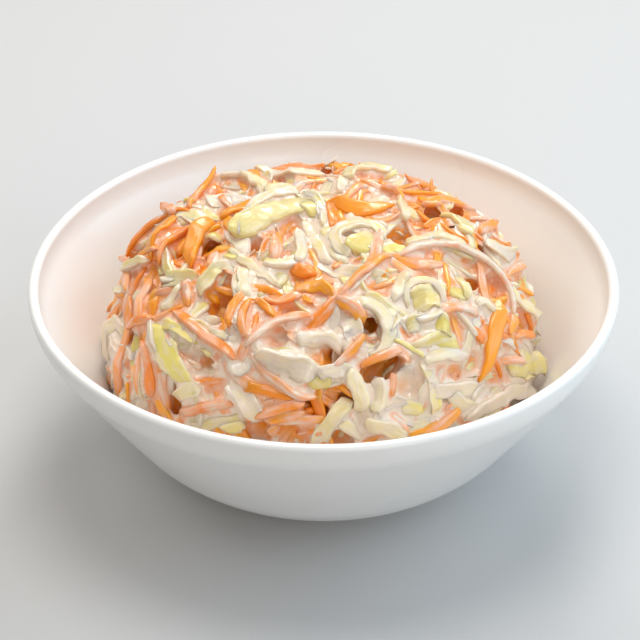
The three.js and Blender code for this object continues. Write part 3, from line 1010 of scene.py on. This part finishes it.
def swollen_skin(pieces):
    """A softened skin that stands SWELL off the pieces and closes the gaps between them."""
    work = bmesh.new()
    for piece in pieces:
        work.from_mesh(piece.data)
    joined = bpy.data.meshes.new("dressing_base")
    work.to_mesh(joined)
    work.free()
    base = add_object("dressing_base", joined, None)
    swell = base.modifiers.new("swell", "DISPLACE")
    swell.mid_level = 0.0
    swell.strength = SWELL * MM
    remesh = base.modifiers.new("skin", "REMESH")
    remesh.mode = "VOXEL"
    remesh.voxel_size = VOXEL * MM
    smooth = base.modifiers.new("soften", "SMOOTH")
    smooth.factor = 0.5
    smooth.iterations = SOFTENING
    thin = base.modifiers.new("thin", "DECIMATE")
    thin.ratio = THINNED
    graph = bpy.context.evaluated_depsgraph_get()
    mesh = bpy.data.meshes.new_from_object(base.evaluated_get(graph))
    mesh.name = "dressing"
    drop_specks(mesh)
    bpy.data.objects.remove(base)
    return mesh


def soften(mesh, rounds):
    work = bmesh.new()
    work.from_mesh(mesh)
    for _ in range(rounds):
        bmesh.ops.smooth_vert(
            work, verts=work.verts, factor=0.5, use_axis_x=True, use_axis_y=True, use_axis_z=True,
        )
    work.to_mesh(mesh)
    work.free()
    mesh.update()


def make_dressing(core, shreds):
    """The creamy dressing: one skin that joins the shreds and fills the hollows."""
    mesh = swollen_skin([core, *shreds])
    tree, owners, leads, films = surface_tree(shreds)
    points = mesh_points(mesh)
    lead = np.array([leads[tree.find_nearest(Vector(point))[2]] for point in points])
    wet = wetness(points)
    film = WET_FILM * np.clip(wet, -1.5, 1.0) + BARE_FILM + UNDER_FILM * (1 - lead)
    sunk = SINK * spot_sum(points, HOLLOWS)
    points -= mesh_normals(mesh) * (SWELL - film)[:, None]
    points -= skin_out(points) * sunk[:, None]
    set_points(mesh, points)
    soften(mesh, 2)
    points = mesh_points(mesh)
    points = keep_off_wall(points[:, None])[:, 0]
    set_points(mesh, points)

    near = np.zeros(len(points))
    for index, point in enumerate(points):
        _, _, face, distance = tree.find_nearest(Vector(point))
        if owners[face] == 0:
            bareness = np.clip(1.25 - 0.9 * films[face], 0.25, 1.2)
            near[index] = np.exp(-distance / TINT_REACH) * bareness
    add_value(mesh, "near_carrot", near)
    add_value(mesh, "wet", np.clip(wet, -1.5, 1.5))
    # How far the dressing lies below the heap's lumpy skin; the dressing's material paints shade into the
    # hollows by it.
    out = (1 - 1 / outness(points)) * np.linalg.norm(points - HEAP_CENTRE, axis=1)
    add_value(mesh, "depth", np.clip(lump(points) - out, 0, 12))
    mesh.polygons.foreach_set("use_smooth", [True] * len(mesh.polygons))
    return add_object("dressing", mesh, dressing_material())


def make_heap():
    core = make_core()
    shreds = make_shreds(lay_heap())
    dressing = make_dressing(core, shreds)
    for piece in [core, *shreds, dressing]:
        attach(piece, "root")
        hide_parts("coleslaw")


# ---- camera, light and floor ----------------------------------------------------------------------


CAMERA_ELEVATION = np.radians(32.2)
CAMERA_DISTANCE = 0.6
CAMERA_LENS = 99.0
CAMERA_SENSOR = 36.0
CAMERA_TARGET = (-0.00115, 0, 0.0484)
LIGHT_TARGET = (0, 0, 0.05)
SKY_COLOUR = (1.0, 0.96, 0.925, 1)
SKY_STRENGTH = 0.37
FLOOR_SIZE = 6.0

# Round soft lights: name, place, diameter, power, colour.
LIGHTS = [
    ("window_right", (0.85, 0.0, 0.60), 1.1, 6.2, (0.62, 0.83, 1.0)),
    ("lamp_left", (-0.60, 0.35, 0.65), 0.6, 1.8, (1.0, 0.97, 0.90)),
    ("softbox_above", (0.0, 0.10, 1.0), 0.5, 4.1, (1.0, 0.98, 0.95)),
    ("softbox_front", (0.40, -1.05, 0.55), 0.6, 2.6, (1.0, 0.95, 0.89)),
    ("glint_behind", (0.20, 0.85, 0.80), 0.40, 4.6, (1.0, 0.99, 0.96)),
]


def aim(thing, target):
    thing.rotation_euler = (Vector(target) - thing.location).to_track_quat("-Z", "Y").to_euler()


def make_camera():
    data = bpy.data.cameras.new("camera")
    data.lens = CAMERA_LENS
    data.sensor_width = CAMERA_SENSOR
    camera = bpy.data.objects.new("camera", data)
    bpy.context.scene.collection.objects.link(camera)
    back = Vector((0, -np.cos(CAMERA_ELEVATION), np.sin(CAMERA_ELEVATION)))
    camera.location = Vector((0, 0, BOWL_HEIGHT * MM)) + back * CAMERA_DISTANCE
    aim(camera, CAMERA_TARGET)
    bpy.context.scene.camera = camera


def make_light(name, place, size, power, colour):
    data = bpy.data.lights.new(name, "AREA")
    data.shape = "DISK"
    data.size = size
    data.energy = power
    data.color = colour
    light = bpy.data.objects.new(name, data)
    light.location = place
    bpy.context.scene.collection.objects.link(light)
    aim(light, LIGHT_TARGET)


def make_studio():
    mesh = bpy.data.meshes.new("floor")
    work = bmesh.new()
    bmesh.ops.create_grid(work, x_segments=1, y_segments=1, size=FLOOR_SIZE)
    work.to_mesh(mesh)
    work.free()
    made = Material("pale_floor")
    made.surface_set(Base_Color=(0.56, 0.56, 0.56, 1), Roughness=0.8)
    floor = add_object("floor", mesh, None)
    mesh.materials.append(made.data)
    world = bpy.data.worlds.new("studio")
    world.use_nodes = True
    background = world.node_tree.nodes["Background"]
    background.inputs["Color"].default_value = SKY_COLOUR
    background.inputs["Strength"].default_value = SKY_STRENGTH
    bpy.context.scene.world = world
    for light in LIGHTS:
        make_light(*light)


make_camera()
make_studio()
make_bowl()
make_heap()
bpy.context.scene.view_settings.view_transform = "Standard"
